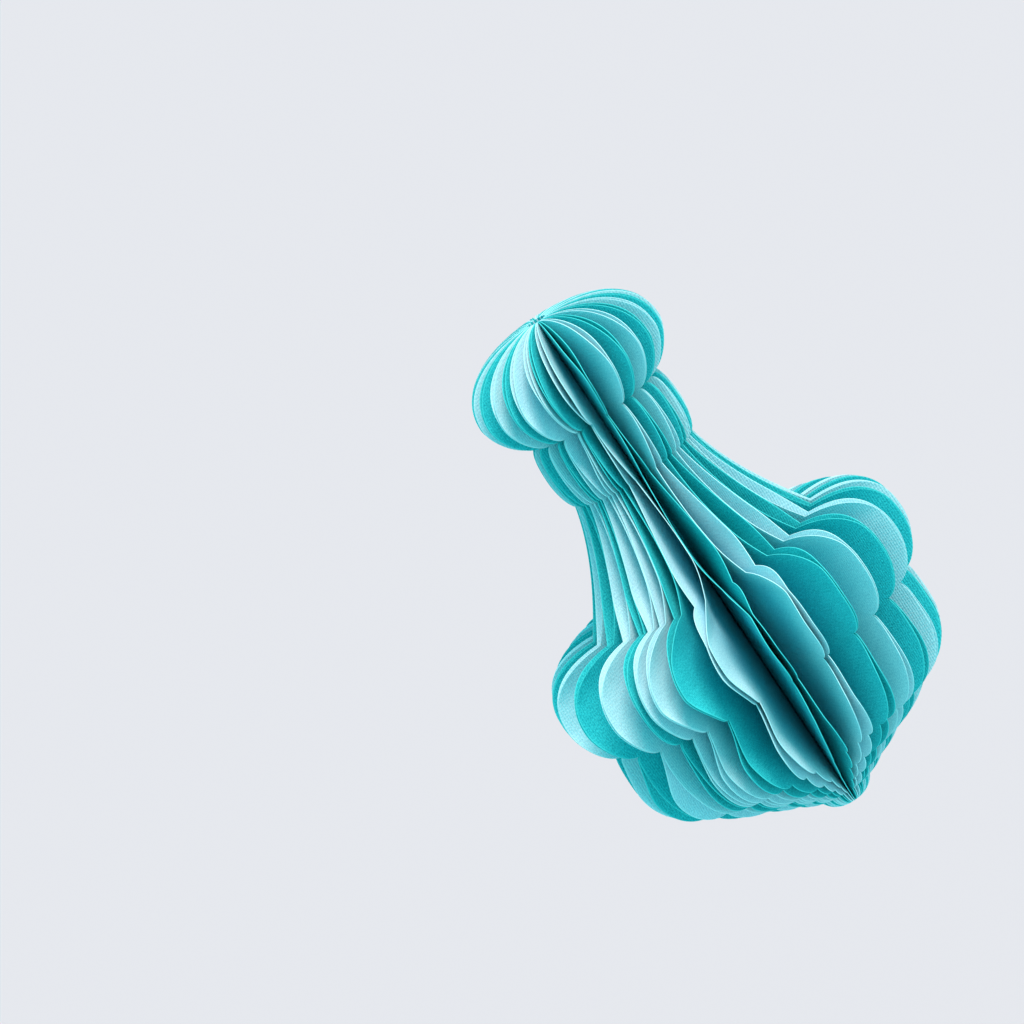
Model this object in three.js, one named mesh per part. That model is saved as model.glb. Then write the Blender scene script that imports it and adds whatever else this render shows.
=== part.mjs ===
import * as THREE from 'three';

// A hanging bauble of folded paper. Each sheet of card is folded down its middle into two leaves and cut to
// the bauble's outline. The sheets stand around the axis with their folds at the centre, pale and teal in
// turn, and strips of glue decide where they open and close.
// Sizes are in millimetres. The axis is Z, the top of the folds is the origin, and drops are measured down.

// The paper and its packing
const sheetCount = 33;
const paperThickness = 0.2;
const leafGap = 0.08;
const glueGap = 0.1;
const firstSheetAngle = -25;

// The head, the ball at the top of the outline. A lobe has two fullnesses, for its crown and its under part:
// 2 gives a plain ellipse, and more gives a squarer shoulder
const headRadius = 30.8;
const headCrownHeight = 17.8;
const headUnderHeight = 12.8;
const headFootRadius = 20.1;
const headFullness = [2.2, 1.6];

// The collar, a slim drum below the head
const collarRadius = 23.1;
const collarCrownHeight = 10.65;
const collarUnderHeight = 10.05;
const collarFootRadius = 20.2;
const collarFullness = [2.4, 1.7];

// The neck, which flares out to the belly
const neckHeight = 36.8;
const neckBendHeight = 17;
const neckBendRadius = 23.7;
const neckFootRadius = 37.7;

// The belly, the widest lobe
const bellyRadius = 58.9;
const bellyCrownHeight = 16.7;
const bellyUnderHeight = 14;
const bellyFootRadius = 50;
const bellyFullness = [2.55, 1.8];

// The hip, the lobe below the belly
const hipRadius = 51.9;
const hipCrownHeight = 11.6;
const hipUnderHeight = 17.2;
const hipFootRadius = 38.5;
const hipFullness = [2.4, 2];

// The underside, a shallow cone of small lobes, and the lower tip
const undersideHeight = 17.7;
const undersideRings = [24.5, 15.5, 8.6];
const undersideFullness = 1.55;
const tipHeight = 4.7;

// Strips where the two leaves of a sheet are glued together or to their neighbours, from the nearest feature
const headGlueBelowFoot = 1;
const waistGlueBelowCollar = 20.5;
const waistGlueAboveBelly = 12;
const bellyGlueAboveCrown = 7.8;

// Where the head's twist starts to fade, and where it has faded and the waist begins
const twistBelowHead = 3;
const waistTopBelowCollar = 5;

// How far a sheet opens, as a share of the room up to its neighbour
const topOpening = 0.28;
const tipOpening = 0.6;
const closedOpening = 0.03;
const waistOpening = 1;
const topOpenShare = 0.3;

// How each sheet stands out of even spacing, as a share of the spacing
const sheetLean = [
  -0.41, -0.68, -0.63, -0.32, -0.13, 0.06, 0.07, 0.06, 0.16, 0.3, 0.2,
  0.05, -0.1, 0.06, 0.14, -0.12, 0.05, -0.08, 0.1, 0.02, -0.14, 0.08,
  0.12, -0.06, 0.05, 0.1, 0.1, 0.12, 0.14, 0.43, 0.71, 0.58, 0.04,
];

// How far the head of each sheet is turned on from the rest of it, as a share of the spacing
const headTwist = [
  0.64, 0.14, -0.07, -0.02, 0.26, -0.02, 0.12, 0.09, 0.09, -0.05, 0.04,
  0.1, 0.05, -0.08, 0.04, 0.12, -0.1, 0.02, 0.08, -0.06, 0.1, 0.02,
  -0.05, 0.08, -0.04, -0.1, -0.2, -0.4, -0.5, -0.55, -0.46, -0.23, -0.14,
];

// How far the waist glue on each sheet's right stands from the middle, as a share of the spacing
const waistGlue = [
  0.2, -0.02, 0.05, 0.05, 0.03, -0.02, 0, 0, 0.02, -0.04, 0.05,
  0, -0.06, 0.04, 0.02, -0.03, 0.08, 0, -0.05, 0.03, 0.04, -0.06,
  0.02, 0, 0.05, -0.04, 0.02, 0.05, 0, -0.06, -0.16, -0.41, 0.16,
];

// How far each sheet's rim curls to one side at the belly and the hip
const sheetCurl = [
  -5.5, -5.2, -3.4, -1.2, -1.8, -1.9, -0.7, 0, 0, -0.5, -1,
  0.5, -1.5, 1, -0.8, -2, 0.6, -1.2, 0.4, -1.6, -0.4, 1.2,
  -1, -2.2, -0.5, -1.4, -2, -2.5, -5, -3.1, -2.6, 1, -2.6,
];
const curlPower = 3;
const curlStartAboveBelly = 15;
const curlAtBellyFoot = 0.1;
const curlBelowHipCrown = 4;

// How slackly each sheet is closed at the head and at the belly, and how much it gapes below the belly
const headSlack = [
  0, 0, 0.25, 0, 0, 0, 0, 0.1, 0, 0, 0,
  0.05, 0, 0, 0.2, 0, 0, 0.1, 0, 0, 0, 0.15,
  0, 0, 0.05, 0, 0, 0.2, 0, 0, 0, 0, 0,
];
const bellySlack = [
  0, 0.02, 0.09, 0.13, 0.13, 0.02, 0, 0, 0.05, 0.02, 0,
  0.04, 0.02, 0.1, 0, 0.06, 0.03, 0, 0.12, 0.02, 0.05, 0,
  0.03, 0.08, 0, 0.05, 0.02, 0, 0.04, 0, 0.04, 0, 0,
];
const sheetGape = [
  0.2, 0.1, 0, 0.12, 0.07, 0, 0, 0.05, 0, 0.1, 0,
  0.3, 0, 0.1, 0, 0, 0.45, 0, 0.1, 0, 0.2, 0,
  0, 0.35, 0, 0.1, 0, 0, 0.3, 0.5, 0.7, 0.2, 0,
];
const gapeLength = 20;

// Papers
const paleColour = 0xa9dfe6;
const tealColour = 0x0fb0b4;
const paperRoughness = 0.85;

// Derived sizes
const spacing = (2 * Math.PI) / sheetCount;
const foldHalfWidth = paperThickness + leafGap / 2;
const foldRadius = (foldHalfWidth + glueGap / 2) / Math.tan(spacing / 2);
const poleRadius = foldRadius + 2 * paperThickness;

const headFootDrop = headCrownHeight + headUnderHeight;
const collarFootDrop = headFootDrop + collarCrownHeight + collarUnderHeight;
const neckFootDrop = collarFootDrop + neckHeight;
const bellyCrownDrop = neckFootDrop + bellyCrownHeight;
const bellyFootDrop = bellyCrownDrop + bellyUnderHeight;
const hipFootDrop = bellyFootDrop + hipCrownHeight + hipUnderHeight;
const tipDrop = hipFootDrop + undersideHeight + tipHeight;

// A quarter of a full ellipse from a notch out to a lobe's widest point
function crown(from, to, fullness, steps) {
  const power = 2 / fullness;
  return Array.from({ length: steps }, (_, i) => {
    const turn = ((i + 1) / steps) * (Math.PI / 2);
    const out = Math.sin(turn) ** power;
    const down = 1 - Math.max(Math.cos(turn), 0) ** power;
    return new THREE.Vector2(
      THREE.MathUtils.lerp(from.x, to.x, out),
      THREE.MathUtils.lerp(from.y, to.y, down),
    );
  });
}

// A quarter of a full ellipse from a lobe's widest point in to the notch below it
function under(from, to, fullness, steps) {
  const power = 2 / fullness;
  return Array.from({ length: steps }, (_, i) => {
    const turn = ((i + 1) / steps) * (Math.PI / 2);
    const inward = 1 - Math.max(Math.cos(turn), 0) ** power;
    const down = Math.sin(turn) ** power;
    return new THREE.Vector2(
      THREE.MathUtils.lerp(from.x, to.x, inward),
      THREE.MathUtils.lerp(from.y, to.y, down),
    );
  });
}

// A bent line from one point to the next, pulled towards a third
function bend(from, pull, to, steps) {
  return new THREE.QuadraticBezierCurve(from, pull, to).getPoints(steps).slice(1);
}

// The leaf's outline as stretches of points, each point a radius and a drop
function leafStretches() {
  const at = (radius, drop) => new THREE.Vector2(radius, drop);
  const top = at(poleRadius, 0);
  const headCrown = at(headRadius, headCrownHeight);
  const headFoot = at(headFootRadius, headFootDrop);
  const collarCrown = at(collarRadius, headFootDrop + collarCrownHeight);
  const collarFoot = at(collarFootRadius, collarFootDrop);
  const neckBend = at(neckBendRadius, collarFootDrop + neckBendHeight);
  const neckFoot = at(neckFootRadius, neckFootDrop);
  const bellyCrown = at(bellyRadius, bellyCrownDrop);
  const bellyFoot = at(bellyFootRadius, bellyFootDrop);
  const hipCrown = at(hipRadius, bellyFootDrop + hipCrownHeight);
  const hipFoot = at(hipFootRadius, hipFootDrop);
  const tip = at(poleRadius, tipDrop);
  const stretches = [
    [top],
    crown(top, headCrown, headFullness[0], 4),
    under(headCrown, headFoot, headFullness[1], 3),
    crown(headFoot, collarCrown, collarFullness[0], 2),
    under(collarCrown, collarFoot, collarFullness[1], 2),
    bend(collarFoot, neckBend, neckFoot, 3),
    crown(neckFoot, bellyCrown, bellyFullness[0], 4),
    under(bellyCrown, bellyFoot, bellyFullness[1], 3),
    crown(bellyFoot, hipCrown, hipFullness[0], 2),
    under(hipCrown, hipFoot, hipFullness[1], 3),
  ];
  const slope = undersideHeight / (hipFootRadius - undersideRings.at(-1));
  const rings = undersideRings.map((radius) => at(radius, hipFootDrop + slope * (hipFootRadius - radius)));
  let from = hipFoot;
  for (const ring of [...rings, tip]) {
    stretches.push(under(from, ring, undersideFullness, 2));
    from = ring;
  }
  return stretches;
}

// What changes down the height of a sheet, each as a list of drops and values
const waistTop = collarFootDrop + waistTopBelowCollar;
const waistFoot = neckFootDrop - waistGlueAboveBelly;
const bellyGlue = bellyCrownDrop - bellyGlueAboveCrown;
const openingStops = [
  [0, topOpening],
  [headCrownHeight * topOpenShare, topOpening],
  [headCrownHeight, closedOpening],
  [headFootDrop + headGlueBelowFoot, closedOpening],
  [collarFootDrop + waistGlueBelowCollar, waistOpening],
  [waistFoot, waistOpening],
  [bellyGlue, closedOpening],
  [bellyFootDrop, closedOpening],
  [tipDrop, tipOpening],
];
const twistStops = [[headFootDrop + twistBelowHead, 1], [waistTop, 0]];
const glueStops = [[headFootDrop, 0], [waistTop, 1], [waistFoot, 1], [bellyGlue, 0]];
const curlStops = [
  [neckFootDrop - curlStartAboveBelly, 0],
  [bellyCrownDrop, 1],
  [bellyFootDrop, curlAtBellyFoot],
  [bellyFootDrop + hipCrownHeight + curlBelowHipCrown, 1],
];
const headSlackStops = [[headCrownHeight, 1], [headFootDrop, 0]];
const bellySlackStops = [[neckFootDrop, 0], [bellyCrownDrop, 1]];
const gapeStops = [[bellyFootDrop, 0], [bellyFootDrop + gapeLength, 1]];

// The value at a drop, with a smooth change from each stop to the next
function alongDrop(drop, stops) {
  let value = stops[0][1];
  for (let i = 1; i < stops.length; i += 1) {
    const change = stops[i][1] - stops[i - 1][1];
    value += change * THREE.MathUtils.smoothstep(drop, stops[i - 1][0], stops[i][0]);
  }
  return value;
}

// How far a sheet is open at a drop, as a share of the room up to its neighbour
function opening(drop, index) {
  const atHead = alongDrop(drop, headSlackStops) * headSlack[index];
  const atBelly = alongDrop(drop, bellySlackStops) * bellySlack[index];
  const gape = alongDrop(drop, gapeStops) * sheetGape[index];
  return Math.min(Math.max(alongDrop(drop, openingStops), atHead + atBelly) + gape, 1);
}

// How far a sheet curls to one side at a distance from its fold
function curl(reach, drop, index) {
  return sheetCurl[index] * alongDrop(drop, curlStops) * (reach / bellyRadius) ** curlPower;
}

const stretches = leafStretches();
const edge = stretches.flat();
const foldMarks = stretches.map((_, i) => stretches.slice(0, i + 1).flat().length - 1);

// The turn of a sheet's fold around the axis, and the turn of the sheet itself at a drop
function foldTurn(index) {
  return THREE.MathUtils.degToRad(firstSheetAngle) + index * spacing;
}

function sheetTurn(index, drop) {
  const around = (index + sheetCount) % sheetCount;
  const twist = headTwist[around] * alongDrop(drop, twistStops);
  return foldTurn(index) + (sheetLean[around] + twist) * spacing;
}

// The angle from a sheet to the place where it meets the next one
function roomToNext(index, drop) {
  const halfWay = (sheetTurn(index + 1, drop) - sheetTurn(index, drop)) / 2;
  return halfWay + waistGlue[(index + sheetCount) % sheetCount] * spacing * alongDrop(drop, glueStops);
}

function roomToPrevious(index, drop) {
  return sheetTurn(index, drop) - sheetTurn(index - 1, drop) - roomToNext(index - 1, drop);
}

function directionAt(turn) {
  return new THREE.Vector3(Math.sin(turn), -Math.cos(turn), 0);
}

// A growing list of points and triangles
class Skin {
  constructor() {
    this.points = [];
    this.faces = [];
  }

  addPoints(points) {
    const first = this.points.length;
    this.points.push(...points);
    return points.map((_, i) => first + i);
  }

  addFace(a, b, c, flip) {
    this.faces.push(flip ? [a, c, b] : [a, b, c]);
  }

  // Joins a line along the outline to a line along the fold, which has one point for each stretch
  addLeafFace(outline, fold, flip) {
    for (let i = 0; i + 1 < fold.length; i += 1) {
      const half = Math.round((foldMarks[i] + foldMarks[i + 1]) / 2);
      for (let j = foldMarks[i]; j < foldMarks[i + 1]; j += 1) {
        this.addFace(fold[j < half ? i : i + 1], outline[j], outline[j + 1], flip);
      }
      this.addFace(fold[i], outline[half], fold[i + 1], flip);
    }
  }

  // Joins two lines of as many points, side by side
  addStrip(left, right, flip) {
    for (let i = 0; i + 1 < left.length; i += 1) {
      this.addFace(left[i + 1], right[i + 1], right[i], flip);
      this.addFace(left[i + 1], right[i], left[i], flip);
    }
  }

  toGeometry() {
    const geometry = new THREE.BufferGeometry().setFromPoints(this.points);
    geometry.setIndex(this.faces.flat());
    geometry.computeVertexNormals();
    return geometry;
  }
}

// One sheet: two leaves that meet at the fold, each with an outer face, an inner face and a cut rim
function foldedSheet(index) {
  const foldPoint = directionAt(foldTurn(index)).multiplyScalar(foldRadius);
  const place = (reach, offset, drop) => {
    const turn = sheetTurn(index, drop);
    const across = new THREE.Vector3(Math.cos(turn), Math.sin(turn), 0);
    const point = foldPoint.clone().addScaledVector(directionAt(turn), reach);
    return point.addScaledVector(across, offset).setZ(-drop);
  };

  const skin = new Skin();
  const foldDrops = foldMarks.map((mark) => edge[mark].y);
  const crotch = skin.addPoints(foldDrops.map((drop) => place(paperThickness, 0, drop)));
  const backs = {};
  const rims = {};
  for (const side of [1, -1]) {
    const roomAt = side > 0 ? roomToNext : roomToPrevious;
    const rimPoint = ({ x, y }, inset) => {
      const reach = x - foldRadius;
      const swing = opening(y, index) * reach * Math.tan(roomAt(index, y));
      return place(reach, side * (foldHalfWidth + swing - inset) + curl(reach, y, index), y);
    };
    const outer = edge.map((p) => rimPoint(p, 0));
    const inner = edge.map((p) => rimPoint(p, paperThickness));
    const back = foldDrops.map((drop) => place(0, side * foldHalfWidth, drop));
    const rim = { outer: skin.addPoints(outer), inner: skin.addPoints(inner) };
    backs[side] = skin.addPoints(back);
    rims[side] = rim;
    skin.addLeafFace(rim.outer, backs[side], side < 0);
    skin.addLeafFace(rim.inner, crotch, side > 0);
    skin.addStrip(rim.inner, rim.outer, side < 0);
  }
  skin.addStrip(backs[-1], backs[1], true);
  addCap(skin, backs, rims, crotch, 0, 0, false);
  addCap(skin, backs, rims, crotch, edge.length - 1, crotch.length - 1, true);
  return skin.toGeometry();
}

// The end of the fold at the top or at the tip
function addCap(skin, backs, rims, crotch, rimAt, foldAt, flip) {
  const middle = crotch[foldAt];
  skin.addFace(backs[-1][foldAt], rims[-1].outer[rimAt], rims[-1].inner[rimAt], flip);
  skin.addFace(backs[-1][foldAt], rims[-1].inner[rimAt], middle, flip);
  skin.addFace(backs[-1][foldAt], middle, backs[1][foldAt], flip);
  skin.addFace(backs[1][foldAt], middle, rims[1].inner[rimAt], flip);
  skin.addFace(backs[1][foldAt], rims[1].inner[rimAt], rims[1].outer[rimAt], flip);
}

function paper(colour) {
  return new THREE.MeshStandardMaterial({ color: colour, roughness: paperRoughness, metalness: 0 });
}

// Pale and teal sheets take turns around the axis, and the odd count leaves two pale ones side by side
const papers = [
  { name: 'pale_sheet', colour: paleColour },
  { name: 'teal_sheet', colour: tealColour },
];
const bauble = new THREE.Group();
for (let index = 0; index < sheetCount; index += 1) {
  const { name, colour } = papers[index % papers.length];
  const number = Math.floor(index / papers.length) + 1;
  const sheet = new THREE.Mesh(foldedSheet(index), paper(colour));
  sheet.name = `${name}_${String(number).padStart(2, '0')}`;
  bauble.add(sheet);
}

export default bauble;
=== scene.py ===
# %% [markdown]
# # A paper bauble of folded sheets
# The bauble is made of one kind of piece, repeated: a sheet of card, folded once down its middle into two
# leaves and cut to the bauble's outline. Thirty-three of them stand around an axis with their folds at
# the centre. Strips of glue hold the two leaves of a sheet together in some places and join neighbours in
# others. That is what closes the sheets at the head and the belly and opens them in the waist.
#
# The frame comes first. It holds each sheet as a plain solid, in metres, with the axis on Z and the
# hanging point at the origin. Everything below is built around it.

# %% Load the frame
import math

import bpy
import numpy as np
from mathutils import Matrix, Vector


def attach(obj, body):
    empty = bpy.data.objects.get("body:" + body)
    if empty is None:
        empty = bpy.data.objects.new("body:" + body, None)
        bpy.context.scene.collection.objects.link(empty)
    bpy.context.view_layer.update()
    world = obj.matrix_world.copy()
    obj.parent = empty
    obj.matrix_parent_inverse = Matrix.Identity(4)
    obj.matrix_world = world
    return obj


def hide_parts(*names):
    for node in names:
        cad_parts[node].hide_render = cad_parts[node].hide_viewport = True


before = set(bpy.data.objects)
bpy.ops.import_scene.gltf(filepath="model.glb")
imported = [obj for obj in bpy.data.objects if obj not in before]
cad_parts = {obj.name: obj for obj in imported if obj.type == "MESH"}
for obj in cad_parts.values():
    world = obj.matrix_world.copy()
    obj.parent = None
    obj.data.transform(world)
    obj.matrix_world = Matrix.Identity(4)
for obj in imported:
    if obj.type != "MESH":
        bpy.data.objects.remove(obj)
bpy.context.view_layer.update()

# %% [markdown]
# ## The sizes
# A designer keeps the driving sizes in one place. They are the same as the solids' sizes, so the fine
# paper lands exactly where the plain solids stand. Lengths are written in millimetres and scaled to
# metres once, when a mesh is made. A drop is a distance down from the hanging point.

# %% The driving sizes
MM = 0.001

sheet_count = 33
paper_thickness = 0.2
leaf_gap = 0.08
glue_gap = 0.1
first_sheet_angle = -25.0

head = {"radius": 30.8, "crown": 17.8, "under": 12.8, "foot": 20.1, "fullness": (2.2, 1.6)}
collar = {"radius": 23.1, "crown": 10.65, "under": 10.05, "foot": 20.2, "fullness": (2.4, 1.7)}
neck = {"height": 36.8, "bend_height": 17.0, "bend_radius": 23.7, "foot": 37.7}
belly = {"radius": 58.9, "crown": 16.7, "under": 14.0, "foot": 50.0, "fullness": (2.55, 1.8)}
hip = {"radius": 51.9, "crown": 11.6, "under": 17.2, "foot": 38.5, "fullness": (2.4, 2.0)}
underside = {"height": 17.7, "rings": [24.5, 15.5, 8.6], "fullness": 1.55}
tip_height = 4.7

spacing = 2 * math.pi / sheet_count
fold_half_width = paper_thickness + leaf_gap / 2
fold_radius = (fold_half_width + glue_gap / 2) / math.tan(spacing / 2)
pole_radius = fold_radius + 2 * paper_thickness

head_foot_drop = head["crown"] + head["under"]
collar_foot_drop = head_foot_drop + collar["crown"] + collar["under"]
neck_foot_drop = collar_foot_drop + neck["height"]
belly_crown_drop = neck_foot_drop + belly["crown"]
belly_foot_drop = belly_crown_drop + belly["under"]
hip_foot_drop = belly_foot_drop + hip["crown"] + hip["under"]
tip_drop = hip_foot_drop + underside["height"] + tip_height
print("fold radius", round(fold_radius, 2), "mm, height", round(tip_drop, 1), "mm")

# %% [markdown]
# ## The outline of a leaf
# The outline is cut with one curve from the hanging point to the tip. Each lobe is a crown, which swells
# out from a notch, and an under part, which turns back in to the next notch. Both are quarters of a full
# ellipse, whose fullness sets how square its shoulder is. The neck is a bent line, and the underside is a
# row of small under parts along a flat cone. Formulas are used here because a lobe keeps its form when a
# size changes, which a list of points wouldn't. Each point of the rim also gets the drop at which its row
# starts at the fold: the rows are spread evenly there, so the mesh has no folds of its own where the
# outline turns back.

# %% Curves of the outline
def crown(start, end, fullness, steps):
    turn = np.linspace(0, math.pi / 2, steps + 1)
    power = 2 / fullness
    out = np.sin(turn) ** power
    down = 1 - np.clip(np.cos(turn), 0, 1) ** power
    return curve_points(start, end, out, down)


def under(start, end, fullness, steps):
    turn = np.linspace(0, math.pi / 2, steps + 1)
    power = 2 / fullness
    inward = 1 - np.clip(np.cos(turn), 0, 1) ** power
    down = np.sin(turn) ** power
    return curve_points(start, end, inward, down)


def curve_points(start, end, across, down):
    start, end = np.array(start), np.array(end)
    return start + (end - start) * np.stack([across, down], axis=1)


def bend(start, pull, end, steps):
    share = np.linspace(0, 1, steps + 1)[:, None]
    start, pull, end = np.array(start), np.array(pull), np.array(end)
    return (1 - share) ** 2 * start + 2 * share * (1 - share) * pull + share**2 * end


# %% The whole outline
def leaf_outline():
    """The points of the rim, as radius and drop, and the drop at which each one's row starts at the fold."""
    top = (pole_radius, 0.0)
    head_crown = (head["radius"], head["crown"])
    head_foot = (head["foot"], head_foot_drop)
    collar_crown = (collar["radius"], head_foot_drop + collar["crown"])
    collar_foot = (collar["foot"], collar_foot_drop)
    neck_bend = (neck["bend_radius"], collar_foot_drop + neck["bend_height"])
    neck_foot = (neck["foot"], neck_foot_drop)
    belly_crown = (belly["radius"], belly_crown_drop)
    belly_foot = (belly["foot"], belly_foot_drop)
    hip_crown = (hip["radius"], belly_foot_drop + hip["crown"])
    hip_foot = (hip["foot"], hip_foot_drop)
    # The last number of each stretch is how many rows of faces it gets
    stretches = [
        crown(top, head_crown, head["fullness"][0], 26),
        under(head_crown, head_foot, head["fullness"][1], 17),
        crown(head_foot, collar_crown, collar["fullness"][0], 10),
        under(collar_crown, collar_foot, collar["fullness"][1], 10),
        bend(collar_foot, neck_bend, neck_foot, 22),
        crown(neck_foot, belly_crown, belly["fullness"][0], 26),
        under(belly_crown, belly_foot, belly["fullness"][1], 19),
        crown(belly_foot, hip_crown, hip["fullness"][0], 12),
        under(hip_crown, hip_foot, hip["fullness"][1], 17),
    ]
    slope = underside["height"] / (hip["foot"] - underside["rings"][-1])
    rings = [(radius, hip_foot_drop + slope * (hip["foot"] - radius)) for radius in underside["rings"]]
    start = hip_foot
    for end in [*rings, (pole_radius, tip_drop)]:
        stretches.append(under(start, end, underside["fullness"], 10))
        start = end
    rims, fold_drops = [stretches[0][:1]], [np.zeros(1)]
    for stretch in stretches:
        rims.append(stretch[1:])
        fold_drops.append(np.linspace(stretch[0, 1], stretch[-1, 1], len(stretch))[1:])
    return np.concatenate(rims), np.concatenate(fold_drops)


rim_points, fold_drops = leaf_outline()
print("outline points", len(rim_points))

# %% [markdown]
# ## The flat blank
# On the bench, each sheet is cut flat before it is folded, and so it is here. The blank is a thin slab:
# both leaves side by side with the fold line between them, in the plane of X and Z, with the paper's
# thickness along Y. It is one closed mesh, and the tree below folds it. Making a flat blank first keeps
# the pattern of the paper flat too: the places on the blank become its UV map, and they bend with the
# sheet. Each point also keeps its distance from the cut in an attribute, which places the painted
# highlight along the cut and the painted shade that deepens further in.

# %% Cut the blank
bend_radius = (paper_thickness + leaf_gap) / 2
bend_length = bend_radius * math.pi / 2
back_depth = paper_thickness / 2 + bend_radius
rim_crowding = 1.3


def blank_columns(bend_steps=3, leaf_steps=15):
    """Places across one leaf: around the fold, then out to the rim, closer together towards the rim."""
    around_fold = np.linspace(0, 1, bend_steps + 1)
    along_leaf = 1 - (1 - np.linspace(0, 1, leaf_steps + 1)) ** rim_crowding
    half = [(share, 0.0) for share in around_fold] + [(1.0, share) for share in along_leaf[1:]]
    left = [(-1, *place) for place in reversed(half[1:])]
    return left + [(1, *place) for place in half]


def make_blank():
    columns = blank_columns()
    rows = len(rim_points)
    vertices, from_cut = [], []
    for layer in (1, -1):
        for side, around, along in columns:
            length = np.maximum(rim_points[:, 0] - fold_radius - back_depth, 0)
            across = side * (around * bend_length + along * length)
            drop = fold_drops + (rim_points[:, 1] - fold_drops) * along
            thick = np.full(rows, layer * paper_thickness / 2)
            vertices.append(np.stack([across, thick, -drop], axis=1))
            from_cut.append((1 - along) * length)
    vertices, from_cut = np.concatenate(vertices) * MM, np.concatenate(from_cut) * MM
    return vertices, blank_faces(len(columns), rows), from_cut


def blank_faces(columns, rows):
    def at(layer, column, row):
        return (layer * columns + column) * rows + row

    faces = []
    for column in range(columns - 1):
        for row in range(rows - 1):
            for layer in (0, 1):
                quad = [at(layer, column, row), at(layer, column, row + 1),
                        at(layer, column + 1, row + 1), at(layer, column + 1, row)]
                faces.append(quad[::-1] if layer == 0 else quad)
        for row in (0, rows - 1):
            quad = [at(0, column, row), at(0, column + 1, row), at(1, column + 1, row), at(1, column, row)]
            faces.append(quad[::-1] if row == 0 else quad)
    for column in (0, columns - 1):
        for row in range(rows - 1):
            quad = [at(0, column, row), at(0, column, row + 1), at(1, column, row + 1), at(1, column, row)]
            faces.append(quad if column == 0 else quad[::-1])
    return faces


blank_mesh = bpy.data.meshes.new("paper_blank")
blank_vertices, blank_quads, blank_from_cut = make_blank()
blank_mesh.from_pydata(blank_vertices.tolist(), [], blank_quads)
blank_mesh.attributes.new("from_cut", "FLOAT", "POINT").data.foreach_set("value", blank_from_cut)
blank_mesh.update()
print("blank", len(blank_mesh.vertices), "vertices")

# %% [markdown]
# ## Writing node trees as expressions
# Node trees get long when every sum is a node that is placed and linked by hand. A small class wraps a
# socket and overloads the arithmetic signs, so an expression on wires adds the Math nodes by itself. One
# method adds any other node. The same two classes write the folding tree here and the paper's shader
# further down.

# %% The wire and tree classes
class Wire:
    """A node's output socket, which can stand in an expression."""

    def __init__(self, tree, node, output=0):
        self.tree, self.node, self.socket = tree, node, node.outputs[output]

    def out(self, name):
        return Wire(self.tree, self.node, name)

    def math(self, operation, *others, first=False):
        values = [*others, self] if first else [self, *others]
        return self.tree.add("ShaderNodeMath", {"operation": operation}, dict(enumerate(values)))

    def __add__(self, other):
        return self.math("ADD", other)

    def __radd__(self, other):
        return self.math("ADD", other, first=True)

    def __sub__(self, other):
        return self.math("SUBTRACT", other)

    def __rsub__(self, other):
        return self.math("SUBTRACT", other, first=True)

    def __mul__(self, other):
        return self.math("MULTIPLY", other)

    def __rmul__(self, other):
        return self.math("MULTIPLY", other, first=True)

    def __truediv__(self, other):
        return self.math("DIVIDE", other)

    def __pow__(self, other):
        return self.math("POWER", other)

    def __neg__(self):
        return self.math("MULTIPLY", -1.0)


class Tree:
    """A node tree that is written with add()."""

    def __init__(self, nodes_owner):
        self.owner = nodes_owner

    def add(self, kind, settings=None, inputs=None):
        node = self.owner.nodes.new(kind)
        for name, value in (settings or {}).items():
            setattr(node, name, value)
        for name, value in (inputs or {}).items():
            if isinstance(value, Wire):
                self.owner.links.new(value.socket, node.inputs[name])
            else:
                node.inputs[name].default_value = value
        return Wire(self, node) if node.outputs else node

    def step(self, value, low, high, start=0.0, end=1.0):
        """Goes smoothly from start to end while value goes from low to high."""
        return self.add("ShaderNodeMapRange", {"interpolation_type": "SMOOTHSTEP"},
                        {0: value, 1: low, 2: high, 3: start, 4: end})

    def vector(self, x, y, z):
        return self.add("ShaderNodeCombineXYZ", None, {0: x, 1: y, 2: z})


print("tree classes ready")

# %% [markdown]
# ## How a sheet changes down its height
# The glue lies in level strips, so how far a sheet opens depends on the drop alone. A list of stops says
# it: a drop and the value there, with a smooth step to the next. An opening of 1 brings a leaf up to its
# neighbour. The other lists say where a value of the single sheet counts in full and where it counts for
# nothing: the twist of the head, the glue in the waist, the curl of the rims, and the slack of sheets
# that gape a little.

# %% How the sheets open, turn and curl down their height
top_opening = 0.28
tip_opening = 0.6
closed_opening = 0.03
top_open_share = 0.3
curl_at_belly_foot = 0.1

head_glue_foot = head_foot_drop + 1.0
twist_top = head_foot_drop + 3.0
waist_top = collar_foot_drop + 5.0
waist_glue_top = collar_foot_drop + 20.5
waist_foot = neck_foot_drop - 12.0
belly_glue = belly_crown_drop - 7.8
curl_top = neck_foot_drop - 15.0
hip_curl = belly_foot_drop + hip["crown"] + 4.0
gape_foot = belly_foot_drop + 20.0

opening_stops = [
    (0.0, top_opening),
    (head["crown"] * top_open_share, top_opening),
    (head["crown"], closed_opening),
    (head_glue_foot, closed_opening),
    (waist_glue_top, 1.0),
    (waist_foot, 1.0),
    (belly_glue, closed_opening),
    (belly_foot_drop, closed_opening),
    (tip_drop, tip_opening),
]
twist_stops = [(twist_top, 1.0), (waist_top, 0.0)]
glue_stops = [(head_foot_drop, 0.0), (waist_top, 1.0), (waist_foot, 1.0), (belly_glue, 0.0)]
curl_stops = [
    (curl_top, 0.0),
    (belly_crown_drop, 1.0),
    (belly_foot_drop, curl_at_belly_foot),
    (hip_curl, 1.0),
]
head_slack_stops = [(head["crown"], 1.0), (head_foot_drop, 0.0)]
belly_slack_stops = [(neck_foot_drop, 0.0), (belly_crown_drop, 1.0)]
gape_stops = [(belly_foot_drop, 0.0), (gape_foot, 1.0)]


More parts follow.
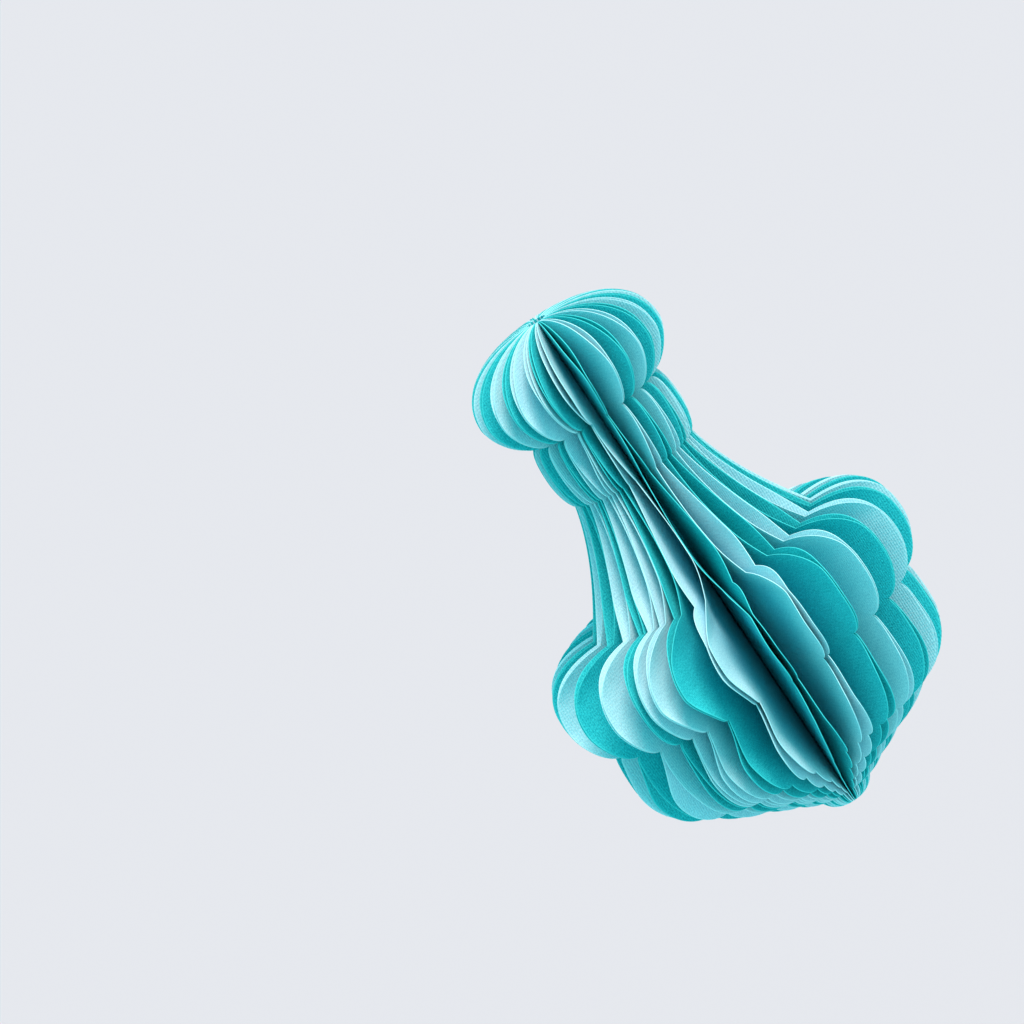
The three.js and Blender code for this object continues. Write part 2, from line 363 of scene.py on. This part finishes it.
def along_drop(tree, drop, stops):
    """The value at a drop in metres, as a sum of smooth steps between the stops."""
    value = stops[0][1]
    for (above, before), (below, after) in zip(stops, stops[1:]):
        if before != after:
            value = value + tree.step(drop, above * MM, below * MM, 0.0, after - before)
    return value


print("a sheet opens at drops of", [round(drop, 1) for drop, _ in opening_stops])

# %% [markdown]
# ## The folding tree
# The tree takes a flat blank and gives the folded sheet. Across the blank, the first fraction of a
# millimetre bends round the fold and the rest runs straight out, and the leaf then swings away from the
# sheet's middle by its opening. Bending a blank by a rule suits this piece better than modelling each
# sheet, since one tree serves all of them and keeps the paper's length. A slow noise makes the rims sway.
# Where a sheet is closed, both leaves share one sway, and where it is open, each leaf shares the sway of
# the neighbour that it is glued to, so glued paper never parts or crosses. The curl grows with the third
# power of the distance from the axis, as a rim of card bends over while the rest stays flat.

# %% The tree
sway_height = 0.9
sway_length = 45.0
seed_step = 7.3
curl_power = 3.0
press_clearance = 0.004
press_depth = glue_gap / 2 - press_clearance
press_length = 2.0
sheet_inputs = ["Fold turn", "Sheet turn", "Twist", "Curl", "Head slack", "Belly slack", "Gape",
                "Sheet seed", "Right seed", "Left seed"]
room_inputs = ["Right rooms", "Left rooms"]


def sway(tree, reach, drop, seed):
    """A slow noise that grows from nothing at the fold to the sway's height at the widest rim."""
    noise = tree.add("ShaderNodeTexNoise", {"noise_dimensions": "3D"}, {
        "Vector": tree.vector(reach / (sway_length * MM), drop / (sway_length * MM), seed * seed_step),
        "Scale": 1.0, "Detail": 1.0, "Roughness": 0.4})
    return (noise - 0.5) * (reach / (belly["radius"] * MM)) * (2 * sway_height * MM)


def make_folding_tree():
    group = bpy.data.node_groups.new("fold_a_sheet", "GeometryNodeTree")
    group.interface.new_socket("Geometry", in_out="INPUT", socket_type="NodeSocketGeometry")
    for name in sheet_inputs:
        group.interface.new_socket(name, in_out="INPUT", socket_type="NodeSocketFloat")
    for name in room_inputs:
        group.interface.new_socket(name, in_out="INPUT", socket_type="NodeSocketVector")
    group.interface.new_socket("Paper", in_out="INPUT", socket_type="NodeSocketMaterial")
    group.interface.new_socket("Geometry", in_out="OUTPUT", socket_type="NodeSocketGeometry")
    tree = Tree(group)
    given = tree.add("NodeGroupInput")

    # Where a point lies on the blank, which has the fold at its middle
    place = tree.add("GeometryNodeInputPosition")
    flat = tree.add("ShaderNodeSeparateXYZ", None, {0: place})
    across, layer, drop = flat.out("X"), flat.out("Y"), -flat.out("Z")
    side = across.math("SIGN")
    is_right = across.math("GREATER_THAN", 0.0)
    is_left = 1 - is_right
    seed = is_right * given.out("Right seed") + is_left * given.out("Left seed")

    # How far it lies round the fold and straight out from it, and how open the sheet is there
    along = across.math("ABSOLUTE")
    angle = (along / (bend_radius * MM)).math("MINIMUM", math.pi / 2)
    straight = (along - bend_length * MM).math("MAXIMUM", 0.0)
    slack = along_drop(tree, drop, head_slack_stops) * given.out("Head slack")
    slack = slack + along_drop(tree, drop, belly_slack_stops) * given.out("Belly slack")
    gape = along_drop(tree, drop, gape_stops) * given.out("Gape")
    opening = (along_drop(tree, drop, opening_stops).math("MAXIMUM", slack) + gape).math("MINIMUM", 1.0)

    # The room up to the neighbour, as an angle from the sheet's middle
    twist_share = along_drop(tree, drop, twist_stops)
    rooms = tree.add("ShaderNodeMix", {"data_type": "VECTOR"}, {
        0: is_right, 4: given.out("Left rooms"), 5: given.out("Right rooms")})
    room = tree.add("ShaderNodeVectorMath", {"operation": "DOT_PRODUCT"}, {
        0: rooms.out("Result"), 1: tree.vector(1.0, twist_share, along_drop(tree, drop, glue_stops))})
    wedge = room.out("Value").math("TANGENT")

    # The way out from the fold and the way aside, pressed to the neighbour's fold where the sheets touch
    swing = opening * straight * wedge
    near_fold = tree.step(straight, 0.0, press_length * MM, 1.0, 0.0)
    press = near_fold.math("MAXIMUM", opening) * (wedge * (back_depth * MM) + press_depth * MM)
    depth = bend_radius * MM + layer
    reach = back_depth * MM - depth * angle.math("COSINE") + straight
    offset = side * (depth * angle.math("SINE") + swing + press * (angle / (math.pi / 2)))
    own_sway = sway(tree, reach, drop, given.out("Sheet seed"))
    shared_sway = sway(tree, reach, drop, seed)
    offset = offset + own_sway * (1 - opening) + shared_sway * opening
    curl_share = along_drop(tree, drop, curl_stops) * (reach / (belly["radius"] * MM)) ** curl_power
    offset = offset + given.out("Curl") * curl_share * MM

    # The sheet is turned to its own place around the axis
    around_z = {"rotation_type": "Z_AXIS"}
    leaf = tree.add("ShaderNodeVectorRotate", around_z, {
        "Vector": tree.vector(offset, -reach, -drop),
        "Angle": given.out("Sheet turn") + given.out("Twist") * twist_share})
    fold = tree.add("ShaderNodeVectorRotate", around_z, {
        "Vector": (0, -fold_radius * MM, 0), "Angle": given.out("Fold turn")})
    folded = tree.add("ShaderNodeVectorMath", {"operation": "ADD"}, {0: leaf, 1: fold})

    with_uv = tree.add("GeometryNodeStoreNamedAttribute", {"data_type": "FLOAT2", "domain": "CORNER"}, {
        "Geometry": given.out("Geometry"), "Name": "paper", "Value": tree.vector(across, drop, 0.0)})
    bent = tree.add("GeometryNodeSetPosition", None, {"Geometry": with_uv, "Position": folded})
    smooth = tree.add("GeometryNodeSetShadeSmooth", None, {"Geometry": bent})
    real = tree.add("GeometryNodeRealizeInstances", None, {"Geometry": smooth})
    dressed = tree.add("GeometryNodeSetMaterial", None, {"Geometry": real, "Material": given.out("Paper")})
    tree.add("NodeGroupOutput", None, {"Geometry": dressed})
    return group


folding_tree = make_folding_tree()
print("folding tree", len(folding_tree.nodes), "nodes")

# %% [markdown]
# ## The paper
# The card is dyed through, matt, and faintly ribbed by the wires of the paper maker's mould. Up close it
# has soft clouds where the pulp lies thicker, and short fibres that give it a strong grain. Ribs and
# fibres are real height, so they go to a Bump node too, and the clouds only change the colour. The
# pattern reads the UV map of the flat blank. Along the cut, a narrow ragged band is painted lighter, a
# painted highlight where the rim catches the light. Further in, a painted shade deepens the colour, for
# the light that bounces between two sheets and takes up their colour more than a render's few bounces
# show.

# %% The paper material
rib_pitch = 0.76
cross_rib_pitch = 1.3 * rib_pitch
# Width of the painted highlight along the cut, in millimetres
cut_width = 0.5
# Painted shade: how far in from the cut it reaches, in millimetres, and the tint that darkens the colour
# there
deep_from_cut = 24.0
painted_shade_tint = (0.5, 0.86, 0.94, 1)
cloud_scale = 260.0
fibre_scale = 1500.0
fibre_stretch = 2.0

# How far each part of the pattern shifts the colour, from 0 at the shade to 1 at the face
cloud_tone = 0.9
fibre_tone = 4.5
rib_tone = 0.22
cross_rib_tone = 0.08

# How high each part of the pattern stands, in millimetres
fibre_height = 0.15
rib_height = 0.05
cross_rib_height = 0.02


def paper_material(name, colour, shade, cut):
    """Makes card in its dye colours, those of its face and of the places where its pulp is thick, with a
    painted highlight on its rim and a painted shade further in.
    """
    material = bpy.data.materials.new(name)
    material.use_nodes = True
    nodes = material.node_tree
    nodes.nodes.clear()
    tree = Tree(nodes)
    blank = tree.add("ShaderNodeUVMap", {"uv_map": "paper"})
    parts = tree.add("ShaderNodeSeparateXYZ", None, {0: blank})
    across, drop = parts.out("X"), parts.out("Y")

    clouds = tree.add("ShaderNodeTexNoise", None, {"Vector": blank, "Scale": cloud_scale, "Detail": 3.0})
    fibres = tree.add("ShaderNodeTexNoise", None, {
        "Vector": tree.vector(across * fibre_stretch, drop, 0.0), "Scale": fibre_scale, "Detail": 2.0})
    ribs = (across * (2 * math.pi / (rib_pitch * MM))).math("SINE")
    cross_ribs = (drop * (2 * math.pi / (cross_rib_pitch * MM))).math("SINE")

    tone = (clouds - 0.5) * cloud_tone + (fibres - 0.5) * fibre_tone + 0.5
    tone = tone + ribs * rib_tone + cross_ribs * cross_rib_tone
    face = tree.add("ShaderNodeMix", {"data_type": "RGBA"}, {0: tone, 6: shade, 7: colour})
    from_cut = tree.add("ShaderNodeAttribute", {"attribute_name": "from_cut"}).out("Fac")
    # Painted shade: the colour is multiplied by a darker tint on the way in from the cut, between the sheets
    painted_shade = tree.add("ShaderNodeMix", {"data_type": "RGBA", "blend_type": "MULTIPLY"}, {
        0: tree.step(from_cut, 0.0, deep_from_cut * MM), 6: face.out("Result"), 7: painted_shade_tint})
    # Painted highlight: a narrow ragged band along the cut takes the lighter cut colour
    highlight_raggedness = (fibres - 0.5) * (2 * cut_width * MM)
    at_cut = tree.step(from_cut + highlight_raggedness, 0.0, cut_width * MM, 1.0, 0.0)
    dye_with_painted_light = tree.add("ShaderNodeMix", {"data_type": "RGBA"}, {0: at_cut, 6: painted_shade.out("Result"), 7: cut})
    height = ribs * rib_height + cross_ribs * cross_rib_height + fibres * fibre_height
    bump = tree.add("ShaderNodeBump", None, {"Strength": 0.5, "Distance": MM, "Height": height})
    skin = tree.add("ShaderNodeBsdfPrincipled", None, {
        "Base Color": dye_with_painted_light.out("Result"), "Roughness": 0.85, "Normal": bump, "Specular IOR Level": 0.25})
    tree.add("ShaderNodeOutputMaterial", None, {"Surface": skin})
    return material


# Each paper's cut colour is the painted highlight along its cut
papers = [
    {"node": "pale_sheet", "slot": "pale_paper", "colour": (0.76, 0.91, 0.94, 1),
     "shade": (0.57, 0.75, 0.81, 1), "cut": (0.80, 0.93, 0.95, 1)},
    {"node": "teal_sheet", "slot": "teal_paper", "colour": (0.05, 0.65, 0.66, 1),
     "shade": (0.015, 0.44, 0.475, 1), "cut": (0.09, 0.72, 0.71, 1)},
]
for paper in papers:
    paper["material"] = paper_material(paper["slot"], paper["colour"], paper["shade"], paper["cut"])
print("papers", [paper["slot"] for paper in papers])

# %% [markdown]
# ## Fold and place the sheets
# The sheets don't stand evenly, as they would if a machine had glued them, so each has a value of its own
# in the lists below. They were chosen sheet by sheet, in the order in which the sheets stand. The
# lean turns a sheet aside and the head's twist turns its head some more, both as a share of the spacing.
# The waist glue shifts the line at which it meets the next sheet in the waist. The curl is how far its
# rim bends over, in millimetres. The slack and the gape open a closed sheet a little.

# %% How the sheets stand
sheet_lean = [
    -0.41, -0.68, -0.63, -0.32, -0.13, 0.06, 0.07, 0.06, 0.16, 0.3, 0.2,
    0.05, -0.1, 0.06, 0.14, -0.12, 0.05, -0.08, 0.1, 0.02, -0.14, 0.08,
    0.12, -0.06, 0.05, 0.1, 0.1, 0.12, 0.14, 0.43, 0.71, 0.58, 0.04,
]
head_twist = [
    0.64, 0.14, -0.07, -0.02, 0.26, -0.02, 0.12, 0.09, 0.09, -0.05, 0.04,
    0.1, 0.05, -0.08, 0.04, 0.12, -0.1, 0.02, 0.08, -0.06, 0.1, 0.02,
    -0.05, 0.08, -0.04, -0.1, -0.2, -0.4, -0.5, -0.55, -0.46, -0.23, -0.14,
]
waist_glue = [
    0.2, -0.02, 0.05, 0.05, 0.03, -0.02, 0, 0, 0.02, -0.04, 0.05,
    0, -0.06, 0.04, 0.02, -0.03, 0.08, 0, -0.05, 0.03, 0.04, -0.06,
    0.02, 0, 0.05, -0.04, 0.02, 0.05, 0, -0.06, -0.16, -0.41, 0.16,
]
sheet_curl = [
    -5.5, -5.2, -3.4, -1.2, -1.8, -1.9, -0.7, 0, 0, -0.5, -1,
    0.5, -1.5, 1, -0.8, -2, 0.6, -1.2, 0.4, -1.6, -0.4, 1.2,
    -1, -2.2, -0.5, -1.4, -2, -2.5, -5, -3.1, -2.6, 1, -2.6,
]
head_slack = [
    0, 0, 0.25, 0, 0, 0, 0, 0.1, 0, 0, 0,
    0.05, 0, 0, 0.2, 0, 0, 0.1, 0, 0, 0, 0.15,
    0, 0, 0.05, 0, 0, 0.2, 0, 0, 0, 0, 0,
]
belly_slack = [
    0, 0.02, 0.09, 0.13, 0.13, 0.02, 0, 0, 0.05, 0.02, 0,
    0.04, 0.02, 0.1, 0, 0.06, 0.03, 0, 0.12, 0.02, 0.05, 0,
    0.03, 0.08, 0, 0.05, 0.02, 0, 0.04, 0, 0.04, 0, 0,
]
sheet_gape = [
    0.2, 0.1, 0, 0.12, 0.07, 0, 0, 0.05, 0, 0.1, 0,
    0.3, 0, 0.1, 0, 0, 0.45, 0, 0.1, 0, 0.2, 0,
    0, 0.35, 0, 0.1, 0, 0, 0.3, 0.5, 0.7, 0.2, 0,
]


# %% [markdown]
# The room on each side of a sheet runs to the middle between it and its neighbour, so that neighbours
# meet there and never cross. Each sheet is the same blank with its own values in the tree's inputs. They
# are set by the identifiers of the sockets, and the result is turned into a plain mesh, which rides on
# the part's one body and replaces the solid of the same sheet.

# %% The values of one sheet
def fold_turn(index):
    return math.radians(first_sheet_angle) + index * spacing


def sheet_turn(index):
    return fold_turn(index) + sheet_lean[index % sheet_count] * spacing


def rooms_to_next(index):
    """Half of the way to the next sheet, and what the head's twist and the waist's glue add to it."""
    half_way = (sheet_turn(index + 1) - sheet_turn(index)) / 2
    twist = (head_twist[(index + 1) % sheet_count] - head_twist[index % sheet_count]) * spacing / 2
    return half_way, twist, waist_glue[index % sheet_count] * spacing


def sheet_values(index):
    before = rooms_to_next(index - 1)
    return {
        "Fold turn": fold_turn(index),
        "Sheet turn": sheet_turn(index),
        "Twist": head_twist[index] * spacing,
        "Right rooms": rooms_to_next(index),
        "Left rooms": (before[0], before[1], -before[2]),
        "Curl": float(sheet_curl[index]),
        "Head slack": float(head_slack[index]),
        "Belly slack": float(belly_slack[index]),
        "Gape": float(sheet_gape[index]),
        "Sheet seed": index + 0.5,
        "Right seed": float((index + 1) % sheet_count),
        "Left seed": float(index),
    }


# %% Fold one sheet
sharp_angle = math.radians(50)


def folded_sheet(name, values, material):
    draft = bpy.data.objects.new(name + "_draft", blank_mesh)
    bpy.context.scene.collection.objects.link(draft)
    modifier = draft.modifiers.new("fold", "NODES")
    modifier.node_group = folding_tree
    for item in folding_tree.interface.items_tree:
        if item.in_out == "INPUT" and item.name in values:
            modifier[item.identifier] = values[item.name]
        if item.in_out == "INPUT" and item.name == "Paper":
            modifier[item.identifier] = material
    bpy.context.view_layer.update()
    evaluated = draft.evaluated_get(bpy.context.evaluated_depsgraph_get())
    mesh = bpy.data.meshes.new_from_object(evaluated)
    draft.modifiers.remove(modifier)
    bpy.data.objects.remove(draft)
    mesh.name = name
    mesh.set_sharp_from_angle(angle=sharp_angle)
    sheet = bpy.data.objects.new(name, mesh)
    bpy.context.scene.collection.objects.link(sheet)
    return sheet


# %% Make all the sheets
for index in range(sheet_count):
    paper = papers[index % len(papers)]
    node = f"{paper['node']}_{index // len(papers) + 1:02d}"
    sheet = folded_sheet("fine_" + node, sheet_values(index), paper["material"])
    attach(sheet, "root")
    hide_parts(node)
print("sheets", sheet_count, "of", len(sheet.data.vertices), "vertices")

# %% [markdown]
# ## The camera
# The photograph was taken from far away with a long lens, a little above the bauble, and the bauble hangs
# slantwise in the picture. The camera is placed from three things: how many metres a pixel covers at the
# bauble, where the hanging point falls in the picture, and how the axis slants there.

# %% Place the camera
image_side = 1024
pixels_per_metre = 3470
view_distance_pixels = 6500
view_elevation = math.radians(10.7)
axis_slant = math.radians(33.8)
hanging_point_pixel = Vector((536, 321))


def place_camera():
    toward_camera = Vector((0, -math.cos(view_elevation), math.sin(view_elevation)))
    level_right = Vector((1, 0, 0))
    level_down = Vector((0, -math.sin(view_elevation), -math.cos(view_elevation)))
    picture_right = math.cos(axis_slant) * level_right + math.sin(axis_slant) * level_down
    picture_down = -math.sin(axis_slant) * level_right + math.cos(axis_slant) * level_down
    from_centre = (hanging_point_pixel - Vector((image_side, image_side)) / 2) / pixels_per_metre
    distance = view_distance_pixels / pixels_per_metre
    place = toward_camera * distance - picture_right * from_centre.x - picture_down * from_centre.y
    camera = bpy.data.cameras.new("camera")
    camera.sensor_width = 36
    camera.lens = camera.sensor_width * view_distance_pixels / image_side
    camera_object = bpy.data.objects.new("camera", camera)
    turn = Matrix((picture_right, -picture_down, toward_camera)).transposed()
    camera_object.matrix_world = Matrix.Translation(place) @ turn.to_4x4()
    bpy.context.scene.collection.objects.link(camera_object)
    bpy.context.scene.camera = camera_object
    return camera_object


camera = place_camera()
print("camera at", [round(v, 3) for v in camera.location], "lens", round(camera.data.lens, 1))

# %% [markdown]
# ## The light and the floor
# One big soft lamp stands above and to the right of the camera, a little warm, and the world fills the
# shadows with a cool light. That pair gives the pale sheets on the left their white and those on the
# right their blue. A plain pale floor lies well below the hanging bauble and keeps its shadow. Its colour
# is worked out from the light, so that it looks the same as the backdrop. Camera, mirrors and glass are
# shown this pale room, and the paper is lit by the cool one, which is what the sum of the Light Path's
# rays is for.

# %% Light, world and floor
backdrop_colour = (0.79, 0.81, 0.855, 1)
fill_colour = (0.09, 0.86, 0.95, 1)
key_colour, key_strength, key_softness = (1.0, 0.86, 0.82), 3.1, 25
key_toward = Vector((0.39, -0.37, 0.84)).normalized()
floor_bounce_colour = (0.34, 0.62, 0.66, 1)


def add_sun(name, toward, colour, strength, softness):
    lamp = bpy.data.lights.new(name, "SUN")
    lamp.color = colour
    lamp.energy = strength
    lamp.angle = math.radians(softness)
    lamp_object = bpy.data.objects.new(name, lamp)
    lamp_object.matrix_world = toward.to_track_quat("Z", "Y").to_matrix().to_4x4()
    bpy.context.scene.collection.objects.link(lamp_object)


def floor_colour():
    """The colour at which the lit floor looks the same as the backdrop."""
    key_share = key_strength * key_toward.z / math.pi
    return [look / (fill + key * key_share)
            for look, fill, key in zip(backdrop_colour, fill_colour, key_colour)] + [1]


def shown_by(tree):
    """One where the camera, a mirror or a glass looks at the surface, and zero where it only lights."""
    path = tree.add("ShaderNodeLightPath")
    return path.out("Is Camera Ray") + path.out("Is Glossy Ray") + path.out("Is Transmission Ray")


def make_world():
    world = bpy.data.worlds.new("studio")
    bpy.context.scene.world = world
    world.use_nodes = True
    world.node_tree.nodes.clear()
    tree = Tree(world.node_tree)
    fill = tree.add("ShaderNodeBackground", None, {"Color": fill_colour, "Strength": 1.0})
    seen = tree.add("ShaderNodeBackground", None, {"Color": backdrop_colour, "Strength": 1.0})
    both = tree.add("ShaderNodeMixShader", None, {0: shown_by(tree), 1: fill, 2: seen})
    tree.add("ShaderNodeOutputWorld", None, {"Surface": both})


def make_floor(drop=0.45, half_side=12.0):
    mesh = bpy.data.meshes.new("floor")
    corners = [(-half_side, -half_side, -drop), (half_side, -half_side, -drop),
               (half_side, half_side, -drop), (-half_side, half_side, -drop)]
    mesh.from_pydata(corners, [], [(0, 1, 2, 3)])
    material = bpy.data.materials.new("floor")
    material.use_nodes = True
    material.node_tree.nodes.clear()
    tree = Tree(material.node_tree)
    lit = tree.add("ShaderNodeBsdfDiffuse", None, {"Color": floor_bounce_colour})
    seen = tree.add("ShaderNodeBsdfDiffuse", None, {"Color": floor_colour()})
    both = tree.add("ShaderNodeMixShader", None, {0: shown_by(tree), 1: lit, 2: seen})
    tree.add("ShaderNodeOutputMaterial", None, {"Surface": both})
    mesh.materials.append(material)
    floor = bpy.data.objects.new("floor", mesh)
    bpy.context.scene.collection.objects.link(floor)


make_world()
make_floor()
add_sun("key", key_toward, key_colour, key_strength, key_softness)
bpy.context.scene.view_settings.view_transform = "Standard"
print("floor colour", [round(part, 3) for part in floor_colour()])
